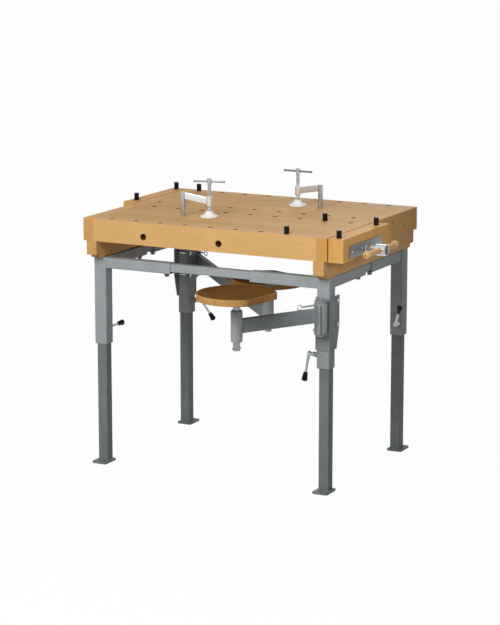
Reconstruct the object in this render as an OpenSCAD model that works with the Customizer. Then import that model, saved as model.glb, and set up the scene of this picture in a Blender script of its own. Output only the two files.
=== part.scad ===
/* [Worktop] */
// Length of the worktop, end to end
top_l = 1000; // [940:10:1200]
// Depth of the worktop, front to back
top_w = 800; // [760:10:900]
// Height of the working surface above the floor
work_h = 945; // [900:5:980]
// Height of the aprons, end caps and jaws
apron_h = 85; // [80:1:100]
// Thickness of the middle panel
panel_t = 45; // [30:1:45]
// Thickness of the front and back aprons
apron_t = 52; // [46:1:70]
// Thickness of the end caps
cap_t = 43; // [35:1:55]
// Width of the cross battens under the ends
batten_w = 42; // [36:1:60]
// Height of the cross battens
batten_h = 67; // [50:1:80]
// Height of the step cut in the battens' ends
batten_step_h = 14; // [8:1:20]
// Length of the step cut in the battens' ends
batten_step_l = 32; // [20:1:45]

/* [Dog holes] */
// Diameter of the holes for dogs and holdfasts
dog_hole_d = 19; // [16:0.5:22]
// Distance between neighbouring holes in a row
hole_pitch = 103; // [90:1:110]
// Distance from the worktop's end to the nearest hole of a row
hole_end = 69; // [60:1:80]
// Least distance from the last hole of a row to the other end
hole_far_end = 100; // [80:1:105]
// Distance from the worktop's edge to an outer row
outer_row_inset = 27; // [22:1:29]
// Distance from the centre line to an inner row
inner_row_y = 55; // [40:1:70]
// Diameter of the cross holes through the aprons
side_hole_d = 25; // [20:1:30]
// Depth of the cross holes' axis below the surface
side_hole_drop = 53.5; // [45:0.5:60]
// Height of a dog's head above the surface
dog_up = 28; // [20:1:35]
// Length of a dog's shank below the surface
dog_down = 40; // [35:1:60]

/* [Frame] */
// Side of the square outer leg tube
leg_s = 50; // [48:1:54]
// Wall of the outer leg tube
leg_wall = 2.5; // [2:0.5:3]
// Length of the outer leg tube
leg_l = 333; // [320:1:340]
// Side of the square inner leg tube
inner_s = 40; // [36:1:41]
// Wall of the inner leg tube
inner_wall = 2.5; // [2:0.5:4]
// Length of the inner leg left inside the outer tube
leg_overlap = 85; // [80:1:120]
// Distance from the worktop's end to the leg's outer face
leg_inset_x = 13; // [8:1:14]
// Distance from the worktop's long edge to the leg's outer face
leg_inset_y = 51; // [45:1:60]
// Side of the square rail tube
rail_s = 40; // [38:1:44]
// Side of the square slider tube inside the rails
slider_s = 30; // [26:1:32]
// Wall of the rail and slider tubes
rail_wall = 2.5; // [2:0.5:3]
// Length of each long rail tube from its leg
rail_l = 272; // [240:1:285]
// Length of a slider hidden inside each rail tube
slider_in = 150; // [100:5:200]
// Distance from the leg's top to the rail's top
rail_drop = 3; // [0:1:8]
// Width of the foot plates
foot_w = 60; // [56:1:80]
// Length of a foot plate outside the leg, with its bolt hole
foot_out = 28; // [24:1:40]
// Thickness of the foot plates
foot_t = 8; // [5:1:12]
// Diameter of the bolt hole in a foot plate
foot_hole_d = 11; // [8:0.5:13]
// Height of the clamp lever above the outer tube's lower end
clamp_up = 48; // [40:1:52]
// Distance from the clamp's axis to the leg's near edge
clamp_inset = 14; // [14:1:25]
// Diameter of the clamp screw
clamp_d = 10; // [8:1:12]
// Length of the clamp lever from its axis to the grip's end
lever_l = 103; // [90:1:120]

/* [Vises] */
// Thickness of the vise jaws
jaw_t = 58; // [50:1:75]
// Length of the vise jaws
jaw_l = 397; // [370:1:400]
// Gap between the jaw and the end cap
jaw_gap = 5; // [5:1:12]
// Depth of the vise screw's axis below the surface
vise_drop = 59; // [59:0.5:60]
// Diameter of the vise screw
vise_screw_d = 22; // [20:1:23]
// Diameter of the guide bars
bar_d = 20; // [16:1:22]
// Distance between the guide bars
bar_spread = 150; // [130:5:170]
// Length of the guide bars behind the front plate
bar_l = 275; // [270:5:300]
// Length of the front plate
plate_l = 280; // [260:5:300]
// Height of the front plate
plate_h = 45; // [40:1:48]
// Thickness of the front plate
plate_t = 5; // [4:0.5:8]
// Diameter of the screw's chrome neck
neck_d = 24; // [24:1:28]
// Length of the screw's chrome neck
neck_l = 35; // [25:1:45]
// Diameter of the screw's hub
hub_d = 42; // [36:1:50]
// Length of the screw's hub
hub_l = 44; // [38:1:55]
// Diameter of the turned handle
handle_d = 21; // [18:1:23]
// Distance between the centres of the handle's balls
handle_l = 242; // [200:2:260]
// Diameter of the handle's balls
ball_d = 31; // [26:1:34]
// Length of the nut and guide block behind the end cap
nut_l = 55; // [45:1:60]

/* [Holdfasts] */
// Height of the holdfast's post above the surface
post_up = 91; // [85:1:100]
// Depth of the holdfast's post below the surface
post_down = 62; // [50:1:80]
// Distance from the post to the clamp screw
hold_reach = 102; // [80:1:110]
// Fall of the holdfast's arm from the post to the boss
hold_fall = 19; // [10:1:20]
// Height of the holdfast's flat arm
hold_bar_h = 25; // [20:1:28]
// Thickness of the holdfast's flat arm
hold_bar_t = 10; // [8:1:14]
// Height of the holdfast's threaded boss
hold_boss_h = 37; // [30:1:38]
// Diameter of the holdfast's threaded boss
hold_boss_d = 23; // [20:1:26]
// Diameter of the holdfast's spindle
spindle_d = 14; // [12:1:15]
// Height of the spindle's top above the surface
spindle_up = 146; // [140:1:160]
// Length of the spindle's tee bar
tee_l = 119; // [100:1:130]
// Diameter of the spindle's tee bar
tee_d = 7; // [6:0.5:8]
// Diameter of the holdfast's pad
pad_d = 68; // [56:1:74]

/* [Seats] */
// Diameter of the round seats
seat_d = 282; // [260:2:290]
// Thickness of the seat boards
seat_t = 24; // [20:1:26]
// Distance from a seat's centre to its flat edge
seat_flat = 114; // [100:1:128]
// Height of the front seat's top above the floor
front_seat_h = 780; // [765:1:790]
// Height of the rear seat's top above the floor
rear_seat_h = 720; // [700:1:728]
// Length of the front seat's arm
front_arm_l = 345; // [335:1:380]
// Length of the rear seat's arm
rear_arm_l = 737; // [700:1:750]
// Direction of the front seat's arm from the bench's length
front_arm_a = 54.9; // [45:0.1:90]
// Direction of the rear seat's arm, stowed behind its leg
rear_arm_a = 39.9; // [38:0.1:40]
// Height of the arms at the hinge
arm_h = 668; // [660:1:672]
// Fall of the front seat's arm along its length
front_arm_fall = 8; // [0:1:12]
// Fall of the rear seat's arm along its length
rear_arm_fall = 88; // [75:1:100]
// Depth of the rectangular arm tube
arm_tube_h = 50; // [44:1:54]
// Width of the rectangular arm tube
arm_tube_w = 24; // [20:1:25]
// Wall of the rectangular arm tube
arm_wall = 2.5; // [2:0.5:3]
// Diameter of the seat post
seat_post_d = 26; // [24:1:30]
// Length of the seat post
seat_post_l = 183; // [175:1:200]
// Diameter of the sleeve that holds the seat post
sleeve_d = 42; // [38:1:48]
// Length of the sleeve that holds the seat post
sleeve_l = 109; // [100:1:112]
// Diameter of the hinge barrel
barrel_d = 46; // [42:1:50]
// Thickness of the leg bracket's plate
bracket_t = 3.5; // [3:0.5:4]

/* [Hidden] */
$fn = 64;

// Clearances: a running fit, an open gap, an air gap, and the overrun of cuts
fit = 0.05;
gap = 0.3;
air = 1;
over = 2;

// Heights of the worktop and the frame
apron_z = work_h - apron_h;
panel_z = work_h - panel_t;
frame_z = apron_z - batten_h;
leg_z = frame_z - leg_l;
rail_z = frame_z - rail_drop - rail_s;
slider_z = rail_z + rail_s - rail_wall - slider_s;

// Places of the legs, and how far the inner legs lean in the outer ones
leg_x = top_l / 2 - leg_inset_x - leg_s / 2;
leg_y = top_w / 2 - leg_inset_y - leg_s / 2;
leg_lean = leg_s / 2 - leg_wall - inner_s / 2 - gap;
inner_top = leg_z + leg_overlap;
clamp_z = leg_z + clamp_up;
clamp_side = leg_s / 2 - clamp_inset;

// Rows of holes, counted from the vise end of the row
row_n = 1 + floor((top_l - hole_end - hole_far_end) / hole_pitch);
function row_x(i) = top_l / 2 - hole_end - i * hole_pitch;
outer_row_y = top_w / 2 - outer_row_inset;
hold_index = 6;
hold_y = top_w / 4;
side_hole_shares = [-0.49, 0.134];

// Small parts of the frame
set_screw_d = 10;
set_nut_d = 20;
set_nut_h = 6;
set_head_d = 17;
set_head_h = 7;
set_near = 24;
set_far = 74;
side_gap = 54;
side_rail_l = leg_y - leg_s / 2 - side_gap / 2;
foot_in = 3;
foot_corner = 6;
clamp_boss_d = 22;
clamp_boss_l = 9;
knob_d = 20;
knob_neck_d = 12;
knob_l = 22;
lever_d = 8;
grip_l = 31;
grip_tip_d = 19;
grip_root_d = 13;

// Vises: the right vise is at the front half of the bench
vise_y = (outer_row_y + inner_row_y) / 2;
vise_z = work_h - vise_drop;
jaw_x = top_l / 2 + jaw_gap;
jaw_dog_x = jaw_x + jaw_t / 2;
plate_x = jaw_x + jaw_t;
plate_rise = 6;
plate_corner = 9;
neck_x = plate_x + plate_t;
hub_x = neck_x + neck_l;
handle_x = hub_x + hub_l / 2;
screw_back = 268;
nut_h = 27;
nut_side = 22;
plate_screw_d = 9;
plate_screw_h = 2.5;
plate_screw_shares = [-0.42, -0.14, 0.16, 0.42];

// Holdfasts: heights above the worktop's surface
pad_base_h = 6;
pad_cone_d = 50;
pad_top_d = 22;
pad_h = 24;
stub_d = 10;
stub_l = 12;
collar_h = 8;
collar_d = 18;
hold_boss_z = 41;
head_d = 17;
head_l = 24;
tee_drop = 12;
front_hold_a = 11;
rear_hold_a = -7;
tee_a = 6;

// Seat hinges: the pivot stands in front of the leg
web_y = leg_y + leg_s / 2 + bracket_t;
pivot_gap = 2.5;
pivot_out = barrel_d / 2 + pivot_gap;
pivot_side = 5;
pivot_x = leg_x + pivot_side;
pivot_y = web_y + pivot_out;
arm_side = 16;
bracket_rise = 54;
bracket_h = 194;
bracket_z1 = arm_h + bracket_rise;
bracket_z0 = bracket_z1 - bracket_h;
flange_back = 28;
flange_taper_h = 84;
flange_foot = 6;
ear_t = 7;
barrel_h = 110;
barrel_rise = 42;
barrel_z = arm_h + barrel_rise - barrel_h;
pin_d = 16;
pin_head_d = 22;
pin_head_h = 6;
bolt_d = 8;
bolt_head_d = 15;
bolt_head_h = 6;
bolt_back = 5.5;
bolt_upper = 18;
bolt_lower = 105;
ring_side_a = 12;
ring_r = 100;
ring_d = 22;
ring_wire = 4;
ring_shank_d = 7;
lug_d = 14;
lug_l = 31;
ring_z = barrel_z + barrel_h - lug_d / 2;
lug_low = 12;
sleeve_collar_d = 36;
sleeve_collar_h = 4;
flange_plate_d = 110;
flange_plate_t = 5;
peg_d = 16;
peg_l = 14;
split_pin_d = 4;
split_pin_l = 38;
split_pin_up = 8;
arm_plate_t = 5;
arm_plate_w = 28;

// Directions of the arms, and the shift that puts the middle of the footprint at the origin
front_dir = 180 + front_arm_a;
rear_dir = 180 - rear_arm_a;
front_seat_x = pivot_x + front_arm_l * cos(front_dir) - arm_side * sin(front_dir);
front_seat_y = -pivot_y + front_arm_l * sin(front_dir) + arm_side * cos(front_dir);
front_edge = -front_seat_y + seat_d / 2;
back_edge = max(pivot_y + barrel_d / 2, top_w / 2);
shift_y = (front_edge - back_edge) / 2;

// Lays a piece out in the finished frame
module placed() translate([0, shift_y, 0]) children();

// Turns a piece half round the bench's upright middle
module half_turn() rotate([0, 0, 180]) children();

// A block given by its low and high corners
module block(low, high) translate(low) cube(high - low);

// A rod along X, Y or Z from a point
module rod_x(p, d, l) translate(p) rotate([0, 90, 0]) cylinder(d = d, h = l);
module rod_y(p, d, l) translate(p) rotate([-90, 0, 0]) cylinder(d = d, h = l);
module rod_z(p, d, l) translate(p) cylinder(d = d, h = l);

// A flat plate with round corners, centred on the origin in plan
module round_plate(x, y, t, r) {
    translate([-x / 2 + r, -y / 2, 0]) cube([x - 2 * r, y, t]);
    translate([-x / 2, -y / 2 + r, 0]) cube([x, y - 2 * r, t]);
    for (sx = [-1, 1], sy = [-1, 1])
        translate([sx * (x / 2 - r), sy * (y / 2 - r), 0]) cylinder(r = r, h = t);
}

// Holes of one row, from index a to index b, drilled down from the surface
module row_holes(y, a, b) {
    for (i = [a : b])
        rod_z([row_x(i), y, apron_z - over], dog_hole_d, apron_h + 2 * over);
}

module worktop_panel() color("burlywood") placed() difference() {
    block([-top_l / 2 + cap_t, -top_w / 2 + apron_t, panel_z],
          [top_l / 2 - cap_t, top_w / 2 - apron_t, work_h]);
    row_holes(-inner_row_y, 0, row_n - 1);
    half_turn() row_holes(-inner_row_y, 0, row_n - 1);
    rod_z([row_x(hold_index), -hold_y, apron_z], dog_hole_d, apron_h + over);
    half_turn() rod_z([row_x(hold_index), -hold_y, apron_z], dog_hole_d, apron_h + over);
}

module apron(first_hole) difference() {
    block([-top_l / 2 + cap_t, -top_w / 2, apron_z],
          [top_l / 2 - cap_t, -top_w / 2 + apron_t, work_h]);
    row_holes(-outer_row_y, first_hole, row_n - 1);
    for (s = side_hole_shares)
        rod_y([s * top_l / 2, -top_w / 2 - over, work_h - side_hole_drop],
              side_hole_d, apron_t + 2 * over);
}
module front_apron() color("burlywood") placed() apron(1);
module back_apron() color("burlywood") placed() half_turn() apron(0);

module end_cap() difference() {
    block([top_l / 2 - cap_t, -top_w / 2, apron_z], [top_l / 2, top_w / 2, work_h]);
    for (s = [-1, 1])
        rod_x([top_l / 2 - cap_t - over, -vise_y + s * bar_spread / 2, vise_z],
              bar_d + 2 * air, cap_t + 2 * over);
    rod_x([top_l / 2 - cap_t - over, -vise_y, vise_z], vise_screw_d + 2 * air, cap_t + 2 * over);
}
module right_end_cap() color("tan") placed() end_cap();
module left_end_cap() color("tan") placed() half_turn() end_cap();

module batten() {
    x1 = leg_x + leg_s / 2;
    block([x1 - batten_w, -top_w / 2, frame_z + batten_step_h], [x1, top_w / 2, apron_z]);
    block([x1 - batten_w, -top_w / 2 + batten_step_l, frame_z],
          [x1, top_w / 2 - batten_step_l, frame_z + batten_step_h]);
}
module right_batten() color("tan") placed() batten();
module left_batten() color("tan") placed() half_turn() batten();

// A hollow square tube along X from a point, open at both ends
module tube_x(p, s, wall, l) translate(p) difference() {
    translate([0, -s / 2, 0]) cube([l, s, s]);
    translate([-over, -s / 2 + wall, wall]) cube([l + 2 * over, s - 2 * wall, s - 2 * wall]);
}

// A hollow square tube along Z round the origin, open at both ends
module tube_z(z0, s, wall, l) translate([0, 0, z0]) difference() {
    translate([-s / 2, -s / 2, 0]) cube([s, s, l]);
    translate([-s / 2 + wall, -s / 2 + wall, -over])
        cube([s - 2 * wall, s - 2 * wall, l + 2 * over]);
}

// A corner of the frame round its leg: rail tubes leave towards -X and +Y.
// The clamp boss is on the side that clamp_turn gives, and set_x is its set screw's place.
module corner(clamp_turn, clamp_off, set_x) {
    difference() {
        union() {
            tube_z(leg_z, leg_s, leg_wall, leg_l);
            mirror([1, 0, 0]) tube_x([leg_s / 2, 0, rail_z], rail_s, rail_wall, rail_l);
            rotate([0, 0, 90]) tube_x([leg_s / 2, 0, rail_z], rail_s, rail_wall, side_rail_l);
            rotate([0, 0, clamp_turn])
                rod_x([leg_s / 2, clamp_off, clamp_z], clamp_boss_d, clamp_boss_l);
        }
        rotate([0, 0, clamp_turn])
            rod_x([leg_s / 2 - leg_wall - over, clamp_off, clamp_z],
                  clamp_d + 2 * fit, leg_wall + clamp_boss_l + 2 * over);
        rod_z([-leg_s / 2 - rail_l + set_x, 0, rail_z - over],
              set_screw_d + 2 * fit, rail_wall + 2 * over);
        rod_z([0, leg_s / 2 + side_rail_l - set_near, rail_z - over],
              set_screw_d + 2 * fit, rail_wall + 2 * over);
    }
}
module corner_a() translate([leg_x, -leg_y, 0]) corner(180, clamp_side, set_far);
module corner_b() translate([-leg_x, -leg_y, 0])
    mirror([1, 0, 0]) corner(90, -clamp_side, set_near);
module frame_front_right() color("slategray") placed() corner_a();
module frame_front_left() color("slategray") placed() corner_b();
module frame_back_left() color("slategray") placed() half_turn() corner_a();
module frame_back_right() color("slategray") placed() half_turn() corner_b();

// The sliders join the rail tubes and press up against their top walls
long_gap = 2 * leg_x - leg_s - 2 * rail_l;
module long_slider() translate([0, -leg_y, 0])
    tube_x([-long_gap / 2 - slider_in, 0, slider_z], slider_s, rail_wall,
           long_gap + 2 * slider_in);
module side_slider() translate([leg_x, 0, 0]) rotate([0, 0, 90])
    tube_x([-side_gap / 2 - slider_in, 0, slider_z], slider_s, rail_wall,
           side_gap + 2 * slider_in);
module front_slider() color("silver") placed() long_slider();
module back_slider() color("silver") placed() half_turn() long_slider();
module side_sliders() color("silver") placed() {
    side_slider();
    half_turn() side_slider();
}

// A set screw with its welded nut under a rail
module set_screw() {
    rod_z([0, 0, rail_z], set_screw_d, slider_z - rail_z);
    rod_z([0, 0, rail_z - set_nut_h], set_nut_d, set_nut_h, $fn = 6);
    rod_z([0, 0, rail_z - set_nut_h - set_head_h], set_head_d, set_head_h, $fn = 6);
}
module set_screws_half() {
    translate([leg_x - leg_s / 2 - rail_l + set_far, -leg_y, 0]) set_screw();
    translate([leg_x, -leg_y + leg_s / 2 + side_rail_l - set_near, 0]) set_screw();
    translate([-leg_x + leg_s / 2 + rail_l - set_near, -leg_y, 0]) set_screw();
    translate([-leg_x, -leg_y + leg_s / 2 + side_rail_l - set_near, 0]) set_screw();
}
module rail_screws() color("gray") placed() {
    set_screws_half();
    half_turn() set_screws_half();
}

// An inner leg with its foot plate, whose bolt hole is outside the leg
module inner_leg(lean_x, lean_y) translate([lean_x, lean_y, 0]) {
    foot_y = inner_s / 2 + foot_in;
    plate_y = foot_out + leg_s + foot_in;
    tube_z(foot_t, inner_s, inner_wall, inner_top - foot_t);
    difference() {
        translate([0, leg_s / 2 + foot_in - plate_y / 2, 0])
            round_plate(foot_w, plate_y, foot_t, foot_corner);
        rod_z([0, -leg_s / 2 - foot_out / 2, -over], foot_hole_d, foot_t + 2 * over);
    }
}
module leg_a() translate([leg_x, -leg_y, 0]) inner_leg(leg_lean, 0);
module leg_b() translate([-leg_x, -leg_y, 0]) inner_leg(leg_lean, -leg_lean);
module leg_front_right() color("lightslategray") placed() leg_a();
module leg_front_left() color("lightslategray") placed() leg_b();
module leg_back_left() color("lightslategray") placed() half_turn() leg_a();
module leg_back_right() color("lightslategray") placed() half_turn() leg_b();

// A clamp lever on the +X side of a leg, its knob standing out from the boss.
// The rod leaves the knob at the angle fold from the screw's axis, turned about it from hanging.
module clamp_lever(turn, fold, out) {
    knob_x = leg_s / 2 + clamp_boss_l + out;
    tip_x = inner_s / 2 - leg_lean + gap;
    rod_l = lever_l - grip_l;
    rod_x([tip_x, 0, clamp_z], clamp_d, knob_x - tip_x + over);
    translate([knob_x, 0, clamp_z]) rotate([0, 90, 0])
        cylinder(d1 = knob_neck_d, d2 = knob_d, h = knob_l);
    translate([knob_x + knob_l, 0, clamp_z]) rotate([turn, 0, 0]) rotate([0, 90 + fold, 0]) {
        translate([0, 0, -lever_d]) cylinder(d = lever_d, h = rod_l + lever_d + over);
        translate([0, 0, rod_l]) cylinder(d1 = grip_root_d, d2 = grip_tip_d, h = grip_l);
    }
}
module clamp_a(turn, fold, out) translate([leg_x, -leg_y, 0]) rotate([0, 0, 180])
    translate([0, clamp_side, 0]) clamp_lever(turn, fold, out);
module clamp_b(turn, fold, out) translate([-leg_x, -leg_y, 0]) rotate([0, 0, 90])
    translate([0, clamp_side, 0]) clamp_lever(turn, fold, out);
clamp_open = 9;
module clamp_front_right() color("dimgray") placed() clamp_a(0, 80, clamp_open);
module clamp_front_left() color("dimgray") placed() clamp_b(180, 0, air);
module clamp_back_left() color("dimgray") placed() half_turn() clamp_a(34, 77, clamp_open);
module clamp_back_right() color("dimgray") placed() half_turn() clamp_b(153, 60, air);

// The leg bracket: a channel round the leg with two ears for the hinge barrel
module flange() linear_extrude(bracket_t) polygon([
    [web_y, bracket_z0], [web_y, bracket_z1],
    [leg_y - leg_s / 2 - flange_back, bracket_z1],
    [leg_y - leg_s / 2 - flange_back, bracket_z0 + flange_taper_h],
    [leg_y - leg_s / 2 - flange_foot, bracket_z0]
]);
module ear(z) {
    rod_z([pivot_x, -pivot_y, z], barrel_d, ear_t);
    block([pivot_x - barrel_d / 2, -pivot_y, z], [pivot_x + barrel_d / 2, -web_y + bracket_t, z + ear_t]);
}
module bracket() difference() {
    union() {
        block([leg_x - leg_s / 2 - bracket_t, -web_y, bracket_z0],
              [leg_x + leg_s / 2 + bracket_t, -web_y + bracket_t, bracket_z1]);
        for (x = [leg_x - leg_s / 2 - bracket_t, leg_x + leg_s / 2])
            translate([x, 0, 0]) mirror([0, 1, 0]) rotate([90, 0, 90]) flange();
        ear(barrel_z - gap - ear_t);
        ear(barrel_z + barrel_h + gap);
    }
    rod_z([pivot_x, -pivot_y, bracket_z0], pin_d + 2 * fit, bracket_h);
    for (drop = [bolt_upper, bolt_lower])
        rod_x([leg_x - leg_s, -leg_y + leg_s / 2 + bolt_back, bracket_z1 - drop],
              bolt_d + 2 * fit, 2 * leg_s);
}
module hinge_bolt_set() {
    z0 = barrel_z - gap - ear_t;
    z1 = barrel_z + barrel_h + gap + ear_t;
    rod_z([pivot_x, -pivot_y, z0 - pin_head_h], pin_d, z1 - z0 + 2 * pin_head_h);
    rod_z([pivot_x, -pivot_y, z0 - pin_head_h], pin_head_d, pin_head_h, $fn = 6);
    rod_z([pivot_x, -pivot_y, z1], pin_head_d, pin_head_h, $fn = 6);
    half = leg_s / 2 + bracket_t;
    for (drop = [bolt_upper, bolt_lower]) {
        p = [leg_x, -leg_y + leg_s / 2 + bolt_back, bracket_z1 - drop];
        rod_x(p - [half, 0, 0], bolt_d, 2 * half);
        rod_x(p - [half + bolt_head_h, 0, 0], bolt_head_d, bolt_head_h, $fn = 6);
        rod_x(p + [half, 0, 0], bolt_head_d, bolt_head_h, $fn = 6);
    }
}
module front_bracket() color("slategray") placed() bracket();
module rear_bracket() color("slategray") placed() half_turn() bracket();
module hinge_bolts() color("silver") placed() {
    hinge_bolt_set();
    half_turn() hinge_bolt_set();
}

// A seat arm's tube along +X, beside the pivot and falling from the end plate to the sleeve
module arm_tube(length, fall) {
    slope = atan(fall / length);
    run = length / cos(slope);
    difference() {
        translate([0, arm_side, arm_h]) rotate([0, slope, 0]) difference() {
            translate([0, -arm_tube_w / 2, -arm_tube_h / 2]) cube([run, arm_tube_w, arm_tube_h]);
            translate([-over, -arm_tube_w / 2 + arm_wall, -arm_tube_h / 2 + arm_wall])
                cube([run + 2 * over, arm_tube_w - 2 * arm_wall, arm_tube_h - 2 * arm_wall]);
        }
        block([-barrel_d / 2, arm_side - arm_tube_w, arm_h - arm_tube_h],
              [barrel_d / 2, arm_side + arm_tube_w, arm_h + arm_tube_h]);
        rod_z([length, arm_side, arm_h - fall - sleeve_l / 2], sleeve_d + 2 * fit, sleeve_l);
    }
}

// The barrel with its end plate and lugs, and the sleeve of the post, at the two ends of an arm
module arm_fittings(length, fall) {
    sleeve_z = arm_h - fall - sleeve_l / 2;
    difference() {
        union() {
            rod_z([0, 0, barrel_z], barrel_d, barrel_h);
            block([barrel_d / 2 - arm_plate_t, arm_side - arm_plate_w / 2, barrel_z],
                  [barrel_d / 2, arm_side + arm_plate_w / 2, barrel_z + barrel_h]);
            for (z = [ring_z, barrel_z + lug_low]) rotate([0, 0, ring_side_a])
                rod_x([0, 0, z], lug_d, lug_l);
        }
        rod_z([0, 0, barrel_z - over], pin_d + 2 * fit, barrel_h + 2 * over);
        rotate([0, 0, ring_side_a]) rod_x([0, 0, ring_z], ring_shank_d + 2 * fit, lug_l + over);
    }
    difference() {
        union() {
            rod_z([length, arm_side, sleeve_z], sleeve_d, sleeve_l);
            rod_z([length, arm_side, sleeve_z + sleeve_l], sleeve_collar_d, sleeve_collar_h);
        }
        rod_z([length, arm_side, sleeve_z - over], seat_post_d + 2 * fit,
              sleeve_l + sleeve_collar_h + 2 * over);
    }
}

// A ring screw that locks the barrel on its pin
module ring_screw() rotate([0, 0, ring_side_a]) {
    rod_x([pin_d / 2 + gap, 0, ring_z], ring_shank_d, ring_r - ring_d / 2 - pin_d / 2 + gap);
    translate([ring_r, 0, ring_z]) rotate([90, 0, 0])
        rotate_extrude() translate([(ring_d - ring_wire) / 2, 0]) circle(d = ring_wire);
}

// A seat post under its board: the flange plate carries the board, which turns on the peg
module seat_post(length, top_h) translate([length, arm_side, 0]) {
    z1 = top_h - seat_t - flange_plate_t;
    z0 = top_h - seat_t - seat_post_l;
    rod_z([0, 0, z0], seat_post_d, z1 - z0);
    rod_z([0, 0, z1], flange_plate_d, flange_plate_t);
    rod_z([0, 0, z1 + flange_plate_t], peg_d, peg_l - gap);
    rod_x([-split_pin_l / 2, 0, z0 + split_pin_up], split_pin_d, split_pin_l);
}

// A round seat board with one flat edge, whose outward direction is flat_a
module seat_board(length, top_h, flat_a) translate([length, arm_side, top_h - seat_t])
    difference() {
        cylinder(d = seat_d, h = seat_t, $fn = 96);
        rod_z([0, 0, -over], peg_d + 2 * fit, peg_l + over);
        rotate([0, 0, flat_a]) translate([seat_flat, -seat_d / 2, -over])
            cube([seat_d, seat_d, seat_t + 2 * over]);
    }

// Turns and carries a seat piece to the front pivot, or to the rear one
module at_front() placed() translate([pivot_x, -pivot_y, 0]) rotate([0, 0, front_dir]) children();
module at_rear() placed() half_turn() translate([pivot_x, -pivot_y, 0])
    rotate([0, 0, rear_dir]) children();
front_flat_a = -10.4;
rear_flat_a = -108.6;
module front_seat_arm() color("slategray") at_front() arm_tube(front_arm_l, front_arm_fall);
module front_arm_fittings() color("slategray") at_front()
    arm_fittings(front_arm_l, front_arm_fall);
module front_ring_screw() color("silver") at_front() ring_screw();
module front_seat_post() color("silver") at_front() seat_post(front_arm_l, front_seat_h);
module front_seat_board() color("peru") at_front()
    seat_board(front_arm_l, front_seat_h, front_flat_a - front_dir);
module rear_seat_arm() color("slategray") at_rear() arm_tube(rear_arm_l, rear_arm_fall);
module rear_arm_fittings() color("slategray") at_rear() arm_fittings(rear_arm_l, rear_arm_fall);
module rear_ring_screw() color("silver") at_rear() ring_screw();
module rear_seat_post() color("silver") at_rear() seat_post(rear_arm_l, rear_seat_h);
module rear_seat_board() color("peru") at_rear()
    seat_board(rear_arm_l, rear_seat_h, rear_flat_a - rear_dir - 180);

// A vise jaw with holes for two dogs, the guide bars and the screw
module jaw() difference() {
    block([jaw_x, -top_w / 2, apron_z], [jaw_x + jaw_t, -top_w / 2 + jaw_l, work_h]);
    for (y = [outer_row_y, inner_row_y])
        rod_z([jaw_dog_x, -y, apron_z - over], dog_hole_d, apron_h + 2 * over);
    for (s = [-1, 1])
        rod_x([jaw_x - over, -vise_y + s * bar_spread / 2, vise_z],
              bar_d + 2 * gap, jaw_t + 2 * over);
    rod_x([jaw_x - over, -vise_y, vise_z], neck_d + 2 * air, jaw_t + 2 * over);
}

// The front plate with its screws and the two guide bars
module carriage() difference() {
    union() {
        translate([plate_x, -vise_y, vise_z + plate_rise]) rotate([90, 0, 90])
            round_plate(plate_l, plate_h, plate_t, plate_corner);
        for (s = [-1, 1])
            rod_x([plate_x + plate_t / 2 - bar_l, -vise_y + s * bar_spread / 2, vise_z],
                  bar_d, bar_l);
        for (s = plate_screw_shares)
            rod_x([plate_x + plate_t, -vise_y + s * plate_l, vise_z + plate_rise],
                  plate_screw_d, plate_screw_h);
    }
    rod_x([plate_x - over, -vise_y, vise_z], neck_d + 2 * fit, plate_t + 2 * over);
}

// The vise screw with its chrome neck and the hub that the handle passes through
module vise_screw() difference() {
    union() {
        rod_x([plate_x - screw_back, -vise_y, vise_z], vise_screw_d, screw_back);
        rod_x([plate_x, -vise_y, vise_z], neck_d, plate_t + neck_l);
        rod_x([hub_x, -vise_y, vise_z], hub_d, hub_l);
    }
    rod_y([handle_x, -vise_y - hub_d, vise_z], handle_d + 2 * fit, 2 * hub_d);
}

module handle() {
    rod_y([handle_x, -vise_y - handle_l / 2, vise_z], handle_d, handle_l);
    for (s = [-1, 1])
        translate([handle_x, -vise_y + s * handle_l / 2, vise_z]) sphere(d = ball_d);
}

// The block behind the end cap that guides the bars and holds the screw's nut
module nut() difference() {
    half_l = bar_spread / 2 + nut_side;
    block([top_l / 2 - cap_t - nut_l, -vise_y - half_l, vise_z - nut_h / 2],
          [top_l / 2 - cap_t, -vise_y + half_l, vise_z + nut_h / 2]);
    for (s = [-1, 1])
        rod_x([top_l / 2 - cap_t - nut_l - over, -vise_y + s * bar_spread / 2, vise_z],
              bar_d + 2 * fit, nut_l + 2 * over);
    rod_x([top_l / 2 - cap_t - nut_l - over, -vise_y, vise_z],
          vise_screw_d + 2 * fit, nut_l + 2 * over);
}
module right_jaw() color("burlywood") placed() jaw();
module right_carriage() color("gray") placed() carriage();
module right_screw() color("gainsboro") placed() vise_screw();
module right_handle() color("wheat") placed() handle();
module right_nut() color("dimgray") placed() nut();
module left_jaw() color("burlywood") placed() half_turn() jaw();
module left_carriage() color("gray") placed() half_turn() carriage();
module left_screw() color("gainsboro") placed() half_turn() vise_screw();
module left_handle() color("wheat") placed() half_turn() handle();
module left_nut() color("dimgray") placed() half_turn() nut();

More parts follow.
